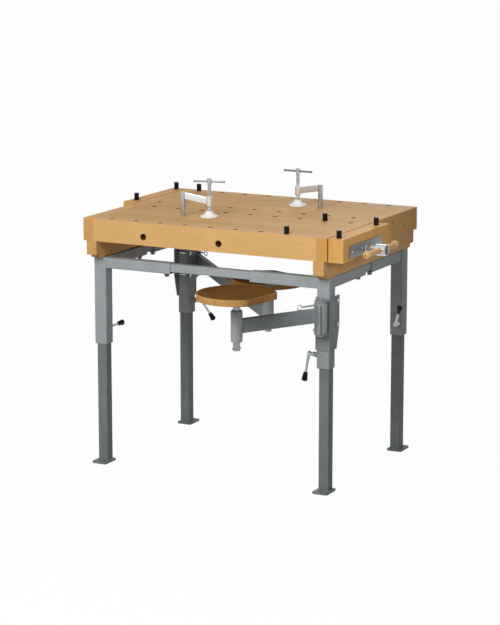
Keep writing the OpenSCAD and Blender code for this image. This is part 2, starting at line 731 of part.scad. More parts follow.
// A holdfast at the origin of its hole, its arm along +X and heights from the surface
module hold_body() {
    bar_a = atan(hold_fall / hold_reach);
    difference() {
        union() {
            rod_z([0, 0, -post_down], dog_hole_d - 2 * fit, post_down + post_up);
            translate([0, -hold_bar_t / 2, post_up - hold_bar_h / 2]) rotate([0, bar_a, 0])
                translate([0, 0, -hold_bar_h / 2])
                    cube([hold_reach / cos(bar_a), hold_bar_t, hold_bar_h]);
            rod_z([hold_reach, 0, hold_boss_z], hold_boss_d, hold_boss_h);
        }
        rod_z([hold_reach, 0, hold_boss_z - over], spindle_d + 2 * fit, hold_boss_h + 2 * over);
    }
}
module hold_spindle() translate([hold_reach, 0, 0]) {
    rod_z([0, 0, pad_h - stub_l], stub_d, stub_l + over);
    translate([0, 0, pad_h + gap]) cylinder(d1 = stub_d, d2 = collar_d, h = collar_h);
    rod_z([0, 0, pad_h + over], spindle_d, spindle_up - pad_h - over);
    rod_z([0, 0, spindle_up - head_l], head_d, head_l);
    rotate([0, 0, tee_a]) rod_x([-tee_l / 2, 0, spindle_up - tee_drop], tee_d, tee_l);
}
module hold_pad() translate([hold_reach, 0, gap]) difference() {
    union() {
        cylinder(d = pad_d, h = pad_base_h);
        translate([0, 0, pad_base_h])
            cylinder(d1 = pad_cone_d, d2 = pad_top_d, h = pad_h - pad_base_h - gap);
    }
    rod_z([0, 0, pad_h - stub_l - 2 * gap], stub_d + 2 * fit, stub_l + over);
}
module at_hold() placed() translate([row_x(hold_index), -hold_y, work_h])
    rotate([0, 0, front_hold_a]) children();
module at_rear_hold() placed() half_turn() translate([row_x(hold_index), -hold_y, work_h])
    rotate([0, 0, rear_hold_a]) children();
module front_holdfast() color("lightgray") at_hold() hold_body();
module front_spindle() color("gainsboro") at_hold() hold_spindle();
module front_pad() color("white") at_hold() hold_pad();
module rear_holdfast() color("lightgray") at_rear_hold() hold_body();
module rear_spindle() color("gainsboro") at_rear_hold() hold_spindle();
module rear_pad() color("white") at_rear_hold() hold_pad();

// A round bench dog standing in its hole
module dog(x, y) rod_z([x, y, work_h - dog_down], dog_hole_d - 2 * fit, dog_down + dog_up);
module dog_right_bench_outer() color("black") placed() dog(row_x(1), -outer_row_y);
module dog_right_bench_inner() color("black") placed() dog(row_x(1), -inner_row_y);
module dog_right_jaw_outer() color("black") placed() dog(jaw_dog_x, -outer_row_y);
module dog_right_jaw_inner() color("black") placed() dog(jaw_dog_x, -inner_row_y);
module dog_left_bench_outer() color("black") placed() half_turn() dog(row_x(0), -outer_row_y);
module dog_left_bench_inner() color("black") placed() half_turn() dog(row_x(1), -inner_row_y);
module dog_left_jaw_outer() color("black") placed() half_turn() dog(jaw_dog_x, -outer_row_y);
module dog_left_jaw_inner() color("black") placed() half_turn() dog(jaw_dog_x, -inner_row_y);

worktop_panel();
front_apron();
back_apron();
right_end_cap();
left_end_cap();
right_batten();
left_batten();
frame_front_right();
frame_front_left();
frame_back_left();
frame_back_right();
front_slider();
back_slider();
side_sliders();
rail_screws();
hinge_bolts();
leg_front_right();
leg_front_left();
leg_back_left();
leg_back_right();
clamp_front_right();
clamp_front_left();
clamp_back_left();
clamp_back_right();
front_bracket();
front_seat_arm();
front_arm_fittings();
front_ring_screw();
front_seat_post();
front_seat_board();
rear_bracket();
rear_seat_arm();
rear_arm_fittings();
rear_ring_screw();
rear_seat_post();
rear_seat_board();
right_jaw();
right_carriage();
right_screw();
right_handle();
right_nut();
left_jaw();
left_carriage();
left_screw();
left_handle();
left_nut();
front_holdfast();
front_spindle();
front_pad();
rear_holdfast();
rear_spindle();
rear_pad();
dog_right_bench_outer();
dog_right_bench_inner();
dog_right_jaw_outer();
dog_right_jaw_inner();
dog_left_bench_outer();
dog_left_bench_inner();
dog_left_jaw_outer();
dog_left_jaw_inner();
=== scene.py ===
from math import cos, pi, radians, sin

import bmesh
import bpy
import numpy as np
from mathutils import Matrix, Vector


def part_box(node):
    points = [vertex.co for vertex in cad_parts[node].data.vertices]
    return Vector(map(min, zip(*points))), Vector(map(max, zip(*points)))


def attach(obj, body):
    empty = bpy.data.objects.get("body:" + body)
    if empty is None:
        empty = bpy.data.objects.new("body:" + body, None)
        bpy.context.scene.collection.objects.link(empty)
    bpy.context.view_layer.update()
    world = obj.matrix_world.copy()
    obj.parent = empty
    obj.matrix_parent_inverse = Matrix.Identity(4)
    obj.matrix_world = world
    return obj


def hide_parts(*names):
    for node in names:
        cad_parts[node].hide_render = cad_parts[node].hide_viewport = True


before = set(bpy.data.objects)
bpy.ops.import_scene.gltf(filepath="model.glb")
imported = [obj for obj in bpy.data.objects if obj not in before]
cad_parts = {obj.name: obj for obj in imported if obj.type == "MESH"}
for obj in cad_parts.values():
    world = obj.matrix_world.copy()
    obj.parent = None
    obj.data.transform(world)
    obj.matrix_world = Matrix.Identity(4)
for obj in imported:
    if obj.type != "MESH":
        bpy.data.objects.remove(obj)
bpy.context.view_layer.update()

# Stand corners. Each is a square leg tube of 50 mm with two rail tubes of 40 mm butt-welded to it
# and a turned boss for the clamp screw: cold-drawn steel tube with round corners, welded, blasted
# and powder-coated in silver grey. Bench millimetres start on the floor under the bench's middle.
mm = 0.001
middle_y = (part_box("front_apron")[0].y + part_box("back_apron")[1].y) / 2
right, left, back, up, down = (1, 0, 0), (-1, 0, 0), (0, 1, 0), (0, 0, 1), (0, 0, -1)
tube_wall = 2.5
leg_x, leg_y, leg_wide, leg_low, leg_high = 462, 324, 50, 460, 793
rail_wide, rail_long, rail_z = 40, 272, 770
clamp_z, boss_off = 508, 11


def linear(colour):
    """An sRGB hex colour as linear RGBA: each channel through the sRGB curve."""
    c = np.array([int(colour[i:i + 2], 16) for i in (1, 3, 5)]) / 255
    c = np.where(c <= 0.04045, c / 12.92, ((c + 0.055) / 1.055) ** 2.4)
    return (*c.tolist(), 1.0)


def add(tree, kind, inputs=None, **settings):
    """Adds a node: settings are its own properties, inputs are values, outputs or other nodes.

    A node given as an input stands for its first output. A Mix node takes its share at 0, its
    colours at 6 and 7, and gives one at 2. A Map Range node takes its value at 0, the range that
    it comes from at 1 and 2, and the one that it goes to at 3 and 4."""
    node = tree.nodes.new(kind)
    for key, value in settings.items():
        setattr(node, key, value)
    for key, value in (inputs or {}).items():
        if isinstance(value, bpy.types.Node):
            value = value.outputs[0]
        if isinstance(value, bpy.types.NodeSocket):
            tree.links.new(value, node.inputs[key])
        else:
            node.inputs[key].default_value = value
    return node


def finish(name, **sockets):
    """A new material and its tree, with values set on the shader's own sockets."""
    material = bpy.data.materials.new(name)
    material.use_nodes = True
    shader = material.node_tree.nodes["Principled BSDF"]
    for key, value in sockets.items():
        shader.inputs[key.replace("_", " ")].default_value = value
    return material, material.node_tree, shader


def surface(tree, shader, colour, grain, smooth, rough, strength, depth):
    """A Mix node's colour, and a grain that runs the roughness and stands in relief."""
    gloss = add(tree, "ShaderNodeMapRange", {0: grain, 3: smooth, 4: rough})
    relief = add(tree, "ShaderNodeBump", {"Height": grain, "Strength": strength, "Distance": depth})
    tree.links.new(colour.outputs[2], shader.inputs["Base Color"])
    tree.links.new(gloss.outputs[0], shader.inputs["Roughness"])
    tree.links.new(relief.outputs[0], shader.inputs["Normal"])


def coated_steel(name, pale, deep, shine=0.06):
    """Powder coat: a grey with faint clouds about 70 mm wide and the coat's fine ripple.

    The ripple of the coat is about 1 mm; it is drawn 5 mm wide to show at all."""
    material, tree, shader = finish(name, Specular_IOR_Level=shine)
    ripple_mm = 5
    place = add(tree, "ShaderNodeTexCoord").outputs["Object"]
    cloud = add(tree, "ShaderNodeTexNoise", {"Vector": place, "Scale": 14.0, "Detail": 3.0})
    ripple = add(tree, "ShaderNodeTexNoise",
                 {"Vector": place, "Scale": 1000 / ripple_mm, "Detail": 2.0})
    both = add(tree, "ShaderNodeMath", {0: cloud, 1: ripple}, operation="ADD")
    share = add(tree, "ShaderNodeMapRange", {0: both, 1: 0.7, 2: 1.3})
    colour = add(tree, "ShaderNodeMix", {0: share, 6: linear(pale), 7: linear(deep)},
                 data_type="RGBA")
    surface(tree, shader, colour, ripple, 0.3, 0.46, 0.25, 0.4 * mm)
    return material


def rounded_box(w, h, r, steps=5):
    """A w by h rectangle's outline: quarter circles of radius r about its four inset corners."""
    quarter = np.repeat(np.arange(4), steps) * pi / 2
    a = quarter + np.tile(np.linspace(0, pi / 2, steps), 4)
    x = np.sign(np.cos(quarter + pi / 4)) * (w / 2 - r) + r * np.cos(a)
    y = np.sign(np.sin(quarter + pi / 4)) * (h / 2 - r) + r * np.sin(a)
    return np.stack([x, y], 1)


def carried(outline, path, side):
    """Outline (u, v) along a path: point + u * side + v * (tangent x side).

    The side is first made square to the tangent."""
    path = np.asarray(path, float)
    tangent = np.gradient(path, axis=0)
    tangent /= np.linalg.norm(tangent, axis=1, keepdims=True)
    side = np.asarray(side, float) - (tangent @ np.asarray(side, float))[:, None] * tangent
    side /= np.linalg.norm(side, axis=1, keepdims=True)
    other = np.cross(tangent, side)
    outline = np.broadcast_to(outline, (len(path),) + np.shape(outline)[-2:])
    return path[:, None] + outline[..., :1] * side[:, None] + outline[..., 1:] * other[:, None]


def turned(profile, start, axis, steps=32):
    """A profile of (length along the axis, radius) swept round the axis from its start."""
    profile = np.asarray(profile, float)
    axis = np.asarray(axis, float) / np.linalg.norm(axis)
    first = np.cross(axis, up if abs(axis[2]) < 0.9 else right)
    first /= np.linalg.norm(first)
    second = np.cross(axis, first)
    a = np.linspace(0, 2 * pi, steps, endpoint=False)
    circle = np.cos(a)[:, None] * first + np.sin(a)[:, None] * second
    centres = np.asarray(start, float) + profile[:, :1] * axis
    return centres[:, None] + profile[:, 1, None, None] * circle


def skin(rings, joined=False):
    """Quads from each ring's points to the next ring's; the ends are joined, or both filled."""
    rings = np.asarray(rings)
    m, n = rings.shape[:2]
    i, j = np.meshgrid(np.arange(m if joined else m - 1), np.arange(n), indexing="ij")
    i2, j2 = (i + 1) % m, (j + 1) % n
    faces = np.stack([i * n + j, i * n + j2, i2 * n + j2, i2 * n + j], -1).reshape(-1, 4).tolist()
    if not joined:
        faces += [list(range(n)), list(range((m - 1) * n, m * n))]
    return rings.reshape(-1, 3), faces


def solid(profile, start, axis, steps=32, joined=False):
    """A turned profile skinned over: a closed ring of it, or a body with its ends filled."""
    return skin(turned(profile, start, axis, steps), joined)


def square_tube(w, h, r, start, end, side):
    """A tube with round corners: the outer outline from start to end, then back along the bore."""
    bore = rounded_box(w - 2 * tube_wall, h - 2 * tube_wall, max(r - tube_wall, 0.5))
    outer = carried(rounded_box(w, h, r), [start, end], side)
    inner = carried(bore, [start, end], side)
    return skin(np.concatenate([outer, inner[::-1]]), joined=True)


def weld(w, h, r, size, centre, along, side):
    """A bead round a w by h joint: its outline grows by the cosine and shifts by the sine of t."""
    centre, along = np.asarray(centre, float), np.asarray(along, float)
    rings = [carried(rounded_box(w + 2 * size * cos(t), h + 2 * size * cos(t), r + size * cos(t)),
                     [centre + size * sin(t) * along, centre + (size * sin(t) + 1) * along],
                     side)[0]
             for t in np.linspace(0, 2 * pi, 8, endpoint=False)]
    return skin(rings, joined=True)


def bush(outer, inner, length, start, axis, ease, steps=40):
    """A turned ring with a bore and eased rims: its profile runs along it and back inside."""
    profile = [(0, inner), (0, outer - ease), (ease, outer), (length - ease, outer),
               (length, outer - ease), (length, inner)]
    return solid(profile, start, axis, steps, True)


def half_turned(parts):
    """The same parts half round the bench's upright middle: x and y change sign."""
    return [(points * (-1, -1, 1), faces) for points, faces in parts]


def cleaned(mesh, near, whole_flats=False):
    """Merges points that near, makes flat faces whole where asked, and turns all faces outwards."""
    shell = bmesh.new()
    shell.from_mesh(mesh)
    bmesh.ops.remove_doubles(shell, verts=shell.verts, dist=near)
    if whole_flats:
        bmesh.ops.dissolve_limit(shell, angle_limit=radians(1), verts=shell.verts,
                                 edges=shell.edges)
    bmesh.ops.recalc_face_normals(shell, faces=shell.faces)
    shell.to_mesh(mesh)
    shell.free()


def in_scene(name, data):
    """A new object with its data, linked to the scene."""
    thing = bpy.data.objects.new(name, data)
    bpy.context.scene.collection.objects.link(thing)
    return thing


def piece(name, body, material, parts, nodes=(), crisp=32):
    """One mesh from closed parts in bench millimetres, its arrises sharp past the crisp angle."""
    whole = bmesh.new()
    for points, faces in parts:
        part = bpy.data.meshes.new("part")
        part.from_pydata((points * mm + (0, middle_y, 0)).tolist(), [], faces)
        cleaned(part, 0.001 * mm)
        whole.from_mesh(part)
        bpy.data.meshes.remove(part)
    mesh = bpy.data.meshes.new(name)
    whole.to_mesh(mesh)
    whole.free()
    mesh.shade_smooth()
    mesh.set_sharp_from_angle(angle=radians(crisp))
    mesh.materials.append(material)
    thing = in_scene(name, mesh)
    level = thing.modifiers.new("flats_stay_flat", "WEIGHTED_NORMAL")
    level.keep_sharp = True
    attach(thing, body)
    if nodes:
        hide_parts(*nodes)
    return thing


def stand_corner(x, boss, outward):
    """A front corner: leg tube, a rail to the other leg, a rail to the back, welds and boss."""
    inwards = -np.sign(x)
    side_face = (x + inwards * leg_wide / 2, -leg_y, rail_z)
    back_face = (x, leg_wide / 2 - leg_y, rail_z)
    return [
        square_tube(leg_wide, leg_wide, 4, (x, -leg_y, leg_low), (x, -leg_y, leg_high), right),
        square_tube(rail_wide, rail_wide, 3, side_face,
                    (side_face[0] + inwards * rail_long, -leg_y, rail_z), back),
        square_tube(rail_wide, rail_wide, 3, back_face, (x, back_face[1] + rail_long, rail_z),
                    right),
        weld(rail_wide, rail_wide, 3, 2, side_face, (inwards, 0, 0), back),
        weld(rail_wide, rail_wide, 3, 2, back_face, back, right),
        bush(11, 5.1, 9, boss, outward, 0.8),
        solid([(0, 11), (1.5, 12.5), (2.5, 11)], boss, outward, joined=True),
    ]


right_corner = stand_corner(leg_x, (leg_x - leg_wide / 2, -leg_y - boss_off, clamp_z), left)
left_corner = stand_corner(-leg_x, (-leg_x - boss_off, leg_wide / 2 - leg_y, clamp_z), back)
# Silver powder coat: matt and even, so each face is one plain shade
silver_coat = coated_steel("powder_coated_steel", "#A0A6A8", "#92989A")
for place, parts in (("front_right", right_corner), ("front_left", left_corner),
                     ("back_left", half_turned(right_corner)),
                     ("back_right", half_turned(left_corner))):
    piece("stand_corner_" + place, "bench", silver_coat, parts, ["frame_" + place])

# Rail sliders. Square tubes of 30 mm join the rails of neighbouring corners and make the stand as
# long and as wide as its worktop; they are of the same coated tube, bare of welds.
slider_wide, slider_z = 30, 772.5
half_long, half_short = 315, 177
long_slider = [square_tube(slider_wide, slider_wide, 2.5, (-half_long, -leg_y, slider_z),
                           (half_long, -leg_y, slider_z), back)]
short_slider = [square_tube(slider_wide, slider_wide, 2.5, (leg_x, -half_short, slider_z),
                            (leg_x, half_short, slider_z), right)]
piece("long_slider_front", "bench", silver_coat, long_slider, ["front_slider"])
piece("long_slider_back", "bench", silver_coat, half_turned(long_slider), ["back_slider"])
piece("short_sliders", "bench", silver_coat, short_slider + half_turned(short_slider),
      ["side_sliders"])

# Set screws. A hexagon screw in a nut welded under each rail's end presses on the slider inside:
# turned steel, zinc-plated and passivated dark.
screw_tip, rail_under, nut_high = 757.4, 750, 6
rail_screw_places = [(239, -leg_y), (-189, -leg_y), (leg_x, -51), (-leg_x, -51)]


def plated_steel(name, pale, deep, rough, grain_mm=3.0):
    """Plated or polished metal: a tone that wanders over 17 mm, and fine lines that blur its gloss.

    The lines of the turning are under 0.1 mm; they are drawn as wide as grain_mm to show."""
    material, tree, shader = finish(name, Metallic=1.0)
    place = add(tree, "ShaderNodeTexCoord").outputs["Object"]
    tone = add(tree, "ShaderNodeTexNoise", {"Vector": place, "Scale": 60.0, "Detail": 3.0})
    colour = add(tree, "ShaderNodeMix", {0: tone, 6: linear(pale), 7: linear(deep)},
                 data_type="RGBA")
    lines = add(tree, "ShaderNodeTexNoise",
                {"Vector": place, "Scale": 1000 / grain_mm, "Detail": 2.0})
    surface(tree, shader, colour, lines, rough * 0.7, rough * 1.3, 0.03, 0.2 * mm)
    return material


def hexagon(across, height, start, axis):
    """A hexagon with its corners on a circle of that diameter, both its rims eased."""
    r, ease = across / 2, 0.8
    profile = [(0, r - ease), (ease, r), (height - ease, r), (height, r - ease)]
    return solid(profile, start, axis, 6)


def set_screw(x, y):
    """Screw shank, welded nut and hexagon head under a rail, from the slider down."""
    return [solid([(0, 4.4), (0.6, 5), (13.5, 5)], (x, y, screw_tip), down, 20),
            hexagon(20, nut_high, (x, y, rail_under), down),
            hexagon(17, 7, (x, y, rail_under - nut_high), down)]


# Dark passivated zinc: a dull dark grey metal
dark_zinc = plated_steel("dark_zinc_plated_steel", "#5E6164", "#45484B", 0.4)
screws = sum([set_screw(x, y) for x, y in rail_screw_places], [])
piece("rail_set_screws", "bench", dark_zinc, screws + half_turned(screws), ["rail_screws"])

# Inner legs. Square tubes of 40 mm stand in the outer ones, each welded to a foot plate of 8 mm
# flat steel that reaches out beside the leg, with a hole for a floor bolt: coated like the stand.
inner_wide, inner_high, foot_thick = 40, 545, 8
lean = 2.2  # How far the clamp screw pushes a leg off the middle of its outer tube


def stacked(outlines):
    """Rings from flat outlines, each with its own height."""
    return [np.column_stack([flat, np.full(len(flat), z)]) for flat, z in outlines]


def bored_plate(outline, hole, r, thick, ease=0.6):
    """A flat plate with a round hole: outline and hole's circle, point by point at one angle."""
    away = outline - hole
    rim = hole + r * away / np.linalg.norm(away, axis=1, keepdims=True)
    small = outline - ease * away / np.linalg.norm(away, axis=1, keepdims=True)
    return skin(stacked([(rim, 0), (small, 0), (outline, ease), (outline, thick - ease),
                         (small, thick), (rim, thick)]), joined=True)


def inner_leg(x, y):
    """Leg tube with its foot plate and the weld between them, round the tube's middle."""
    foot = rounded_box(60, 81, 6, 9) + (0, -12.5)
    plate, faces = bored_plate(foot, (0, -39), 5.5, foot_thick)
    return [square_tube(inner_wide, inner_wide, 4, (x, y, foot_thick), (x, y, inner_high), right),
            (plate + (x, y, 0), faces),
            weld(inner_wide, inner_wide, 4, 2.2, (x, y, foot_thick), up, right)]


right_leg = inner_leg(leg_x + lean, -leg_y)
left_leg = inner_leg(-leg_x + lean, -leg_y - lean)
# The same coat painted a shade darker for the light that falls off low down: a matt mid grey
leg_coat_painted_shade = coated_steel("powder_coated_inner_legs_painted_shade", "#7C8284", "#6F7577")
for place, parts in (("front_right", right_leg), ("front_left", left_leg),
                     ("back_left", half_turned(right_leg)), ("back_right", half_turned(left_leg))):
    piece("inner_leg_" + place, "leg_" + place, leg_coat_painted_shade, parts, ["leg_" + place])

# Clamp levers. A screw with a turned knuckle runs in each boss and presses on the inner leg; its
# bent rod ends in a moulded grip. The steel is bright zinc-plated, the grip is black nylon.
knuckle = [(-5, 5), (-4, 8.2), (-1, 9.4), (2, 8.2), (4.5, 5.6), (7, 5), (9.5, 6.4), (12, 8.8),
           (15, 10), (18, 10), (21, 8.8), (23.6, 5.6), (24.6, 0)]
rod = [(0, 5.8), (10, 5.5), (30, 4.9), (70, 4.5), (76, 4.4)]
grip_form = [(70, 0), (70, 7), (71.5, 8.2), (80, 9), (90, 10.1), (98, 11), (100.5, 10.8),
             (102.4, 9), (103, 5), (103, 0)]
screw_end, knuckle_out, rod_out = 18.2, 34, 19


def moulded(name, pale, deep, rough, grain_mm, shine=0.4):
    """Moulded plastic: nearly one tone, with the mould's fine grain in gloss and relief.

    The grain is a few tenths of a millimetre; it is drawn as wide as grain_mm to show."""
    material, tree, shader = finish(name, Specular_IOR_Level=shine)
    place = add(tree, "ShaderNodeTexCoord").outputs["Object"]
    grain = add(tree, "ShaderNodeTexNoise",
                {"Vector": place, "Scale": 1000 / grain_mm, "Detail": 2.0})
    colour = add(tree, "ShaderNodeMix", {0: grain, 6: linear(pale), 7: linear(deep)},
                 data_type="RGBA")
    surface(tree, shader, colour, grain, rough - 0.08, rough + 0.08, 0.1, 0.2 * mm)
    return material


def thread(start, axis, length, r, depth, pitch, steps, per_turn=4):
    """A screw thread: r less depth times a triangle wave of (length / pitch - angle / turn)."""
    along = np.linspace(0, length, int(length / pitch * per_turn) + 1)[:, None]
    middle, unit = (turned(np.hstack([along, 0 * along + radius]), start, axis, steps)
                    for radius in (0, 1))
    turn = np.linspace(0, 1, steps, endpoint=False)
    wave = np.abs(((along / pitch - turn) % 1) * 2 - 1)
    return skin(middle + (unit - middle) * (r - depth * wave)[..., None])


def set_at(parts, turn, at):
    """Parts turned about the upright by so many degrees, then carried to a point."""
    c, s = cos(radians(turn)), sin(radians(turn))
    return [(points @ np.array([[c, s, 0], [-s, c, 0], [0, 0, 1]]) + at, faces)
            for points, faces in parts]


def clamp(turn, fold, out):
    """Steel parts and grip of a lever on a leg's right, its rod folded and turned from hanging."""
    knob = knuckle_out + out
    away = np.array([cos(radians(fold)), sin(radians(fold)) * sin(radians(turn)),
                     -sin(radians(fold)) * cos(radians(turn))])
    root = (knob + rod_out, 0, clamp_z)
    steel = [thread((screw_end, 0, clamp_z), right, knob - 17, r=5, depth=0.6, pitch=1.5,
                    steps=20),
             solid(knuckle, (knob, 0, clamp_z), right),
             solid(rod, root, away, 20)]
    return steel, [solid(grip_form, root, away, 24)]


# Bright zinc: a pale silver metal with a soft gloss
bright_zinc = plated_steel("bright_zinc_plated_steel", "#B6B9BC", "#909497", 0.26)
# Moulded nylon: near black, with a faint broad highlight
black_nylon = moulded("black_moulded_nylon", "#101112", "#08080A", 0.34, 2.5, 0.12)
for place, body_turn, at, turn, fold, out in (
        ("front_right", 180, (leg_x, -leg_y - boss_off, 0), 0, 80, 9),
        ("front_left", 90, (-leg_x - boss_off, -leg_y, 0), 180, 0, 1),
        ("back_left", 0, (-leg_x, leg_y + boss_off, 0), 34, 77, 9),
        ("back_right", 270, (leg_x + boss_off, leg_y, 0), 153, 60, 1)):
    steel, grip = clamp(turn, fold, out)
    node = "clamp_" + place
    piece(node + "_lever", node, bright_zinc, set_at(steel, body_turn, at), [node])
    piece(node + "_grip", node, black_nylon, set_at(grip, body_turn, at))

# Worktop boards. Battens under the ends carry a middle panel between two aprons and two end caps:
# steamed beech, laminated from staves, planed, oiled and waxed, the arrises eased by hand. The
# panel and aprons run along the bench, and the caps and battens run across it.
facet_wide, hole_deep = 6 * mm, 20 * mm


def beech(name, pale, deep, turn, stave_mm, length_mm, shift, rough=0.5, shine=0.12):
    """Laminated beech whose grain runs along X before turn: staves, joints, growth lines, flecks.

    Growth lines of 1 mm and flecks of 0.5 mm are drawn 4 mm and 2 mm wide to show at all."""
    material, tree, shader = finish(name, Specular_IOR_Level=shine)
    coord = add(tree, "ShaderNodeTexCoord")
    turned_by = (0, 0, radians(turn))
    place = add(tree, "ShaderNodeMapping",
                {"Vector": coord.outputs["Object"], "Rotation": turned_by, "Location": shift})
    # Each stave has its own number, and each length along a stave has its own tone
    flat = add(tree, "ShaderNodeSeparateXYZ", {0: place})
    row = add(tree, "ShaderNodeMath", {0: flat.outputs[1], 1: 1000 / stave_mm},
              operation="MULTIPLY")
    stave = add(tree, "ShaderNodeMath", {0: row}, operation="FLOOR")
    luck = add(tree, "ShaderNodeTexWhiteNoise", {"W": stave}, noise_dimensions="1D")
    run = add(tree, "ShaderNodeMath", {0: flat, 1: 1000 / length_mm, 2: luck},
              operation="MULTIPLY_ADD")
    block = add(tree, "ShaderNodeMath", {0: run}, operation="FLOOR")
    key = add(tree, "ShaderNodeMath", {0: stave, 1: 17.3, 2: block}, operation="MULTIPLY_ADD")
    tone = add(tree, "ShaderNodeTexWhiteNoise", {"W": key}, noise_dimensions="1D")
    far = add(tree, "ShaderNodeMath", {0: tone, 1: 40.0}, operation="MULTIPLY")
    # Growth lines 4 mm wide and 110 mm long, flecks 2 mm wide and 11 mm long, a mottle of 200 mm
    drawn = add(tree, "ShaderNodeVectorMath", {0: place, 1: (9.0, 250.0, 250.0)},
                operation="MULTIPLY")
    growth = add(tree, "ShaderNodeTexNoise",
                 {"Vector": drawn, "W": far, "Scale": 1.0, "Detail": 3.0, "Distortion": 0.3},
                 noise_dimensions="4D")
    short = add(tree, "ShaderNodeVectorMath", {0: place, 1: (90.0, 520.0, 520.0)},
                operation="MULTIPLY")
    fleck = add(tree, "ShaderNodeTexNoise", {"Vector": short, "Scale": 1.0, "Detail": 1.0})
    dark_fleck = add(tree, "ShaderNodeMapRange", {0: fleck, 1: 0.6, 2: 0.74, 3: 0.0, 4: 0.4})
    mottle = add(tree, "ShaderNodeTexNoise", {"Vector": place, "Scale": 5.0, "Detail": 2.0})
    # The stave's own tone, its growth lines and the board's mottle are added up
    lines = add(tree, "ShaderNodeMath", {0: growth, 1: 0.9, 2: -0.2}, operation="MULTIPLY_ADD")
    toned = add(tree, "ShaderNodeMath", {0: tone, 1: 0.35, 2: lines}, operation="MULTIPLY_ADD")
    mixed = add(tree, "ShaderNodeMath", {0: mottle, 1: 0.5, 2: toned}, operation="MULTIPLY_ADD")
    share = add(tree, "ShaderNodeMapRange", {0: mixed, 1: 0.2, 2: 1.0})
    colour = add(tree, "ShaderNodeMix", {0: share, 6: linear(pale), 7: linear(deep)},
                 data_type="RGBA")
    # The glue lines are drawn 1 mm wide
    side = add(tree, "ShaderNodeMath", {0: row, 1: 0.5}, operation="PINGPONG")
    joint = add(tree, "ShaderNodeMapRange", {0: side, 1: 0.0, 2: 1.0 / stave_mm, 3: 0.28, 4: 0.0})
    # End grain is darker, with the growth rings' arcs
    across = add(tree, "ShaderNodeMapping",
                 {"Vector": coord.outputs["Normal"], "Rotation": turned_by}, vector_type="NORMAL")
    facing = add(tree, "ShaderNodeSeparateXYZ", {0: across})
    square = add(tree, "ShaderNodeMath", {0: facing}, operation="ABSOLUTE")
    end = add(tree, "ShaderNodeMapRange", {0: square, 1: 0.6, 2: 0.9})
    rings = add(tree, "ShaderNodeTexWave",
                {"Vector": place, "Scale": 55.0, "Distortion": 5.0, "Detail": 2.0,
                 "Detail Scale": 2.0}, wave_type="BANDS", bands_direction="Y")
    end_tone = add(tree, "ShaderNodeMapRange", {0: rings.outputs[1], 3: 0.12, 4: 0.3})
    end_share = add(tree, "ShaderNodeMath", {0: end, 1: end_tone}, operation="MULTIPLY")
    for dark, deeper in ((dark_fleck, "#6E4A26"), (joint, "#7A532B"), (end_share, "#8A6034")):
        colour = add(tree, "ShaderNodeMix", {0: dark, 6: colour.outputs[2], 7: linear(deeper)},
                     data_type="RGBA")
    surface(tree, shader, colour, growth, rough - 0.08, rough + 0.1, 0.18, 0.3 * mm)
    return material


def read(items, key, width=1, kind="i4"):
    """One property of all of a mesh's vertices, edges, corners or faces, as one array."""
    values = np.empty((len(items), width), kind)
    items.foreach_get(key, values.ravel())
    return values if width > 1 else values[:, 0]


def eased_board(name, node, body, material, ease_mm, bore=None):
    """A merged copy of a node's solid, its flat faces made whole and its arrises rounded by Bevel.

    The narrow facets of its drilled holes take the bore's material, their painted shade: four
    sides, the shortest under facet_wide and the longest over hole_deep."""
    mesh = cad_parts[node].data.copy()
    mesh.name = name
    cleaned(mesh, 0.002 * mm, whole_flats=True)
    mesh.materials.clear()
    mesh.materials.append(material)
    if bore:
        mesh.materials.append(bore)
        ends = read(mesh.vertices, "co", 3, "f4")[read(mesh.edges, "vertices", 2)]
        sides = np.linalg.norm(ends[:, 0] - ends[:, 1], axis=1)[read(mesh.loops, "edge_index")]
        first, count = (read(mesh.polygons, key) for key in ("loop_start", "loop_total"))
        facets = ((count == 4) & (np.minimum.reduceat(sides, first) < facet_wide)
                  & (np.maximum.reduceat(sides, first) > hole_deep))
        mesh.polygons.foreach_set("material_index", facets.astype("i4"))
    mesh.shade_smooth()
    mesh.set_sharp_from_angle(angle=radians(32))
    thing = in_scene(name, mesh)
    bevel = thing.modifiers.new("eased_arrises", "BEVEL")
    bevel.width = ease_mm * mm
    bevel.segments = 2
    bevel.limit_method = "ANGLE"
    bevel.angle_limit = radians(35)
    bevel.harden_normals = True
    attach(thing, body)
    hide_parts(node)


# Waxed beech: a warm light brown with a low sheen, each stave a little apart from the next
panel_beech = beech("beech_panel_staves", "#D6A765", "#C2934E", turn=0, stave_mm=49.7,
                    length_mm=900, shift=(0, -middle_y, 0))
# Whole boards of it: a paler and calmer brown
apron_beech = beech("beech_apron_board", "#DAAF74", "#C99C60", turn=0, stave_mm=104,
                    length_mm=1400, shift=(0, -middle_y, 0.3))
cross_beech = beech("beech_cross_board", "#DEAE6C", "#CD9B58", turn=90, stave_mm=104,
                    length_mm=1400, shift=(0.1, 0.052, 0.2))
batten_beech = beech("beech_batten_board", "#DAAE72", "#C99A5D", turn=90, stave_mm=60,
                     length_mm=1400, shift=(0.4, 0.03, 0.1))
# The wall of a drilled hole: beech painted dark as the shade inside the hole, rough and dull
bore_shade_beech = beech("beech_bore_painted_shade", "#8A5A2C", "#6E4520", turn=0, stave_mm=49.7,
                      length_mm=900, shift=(0, -middle_y, 0.6), rough=0.7)
for node in ("right_batten", "left_batten"):
    eased_board("board_" + node, node, "bench", batten_beech, 1.5)
eased_board("board_worktop_panel", "worktop_panel", "bench", panel_beech, 0.8, bore_shade_beech)
for node in ("front_apron", "back_apron"):
    eased_board("board_" + node, node, "bench", apron_beech, 1.2, bore_shade_beech)
for node in ("right_end_cap", "left_end_cap"):
    eased_board("board_" + node, node, "bench", cross_beech, 1.2, bore_shade_beech)

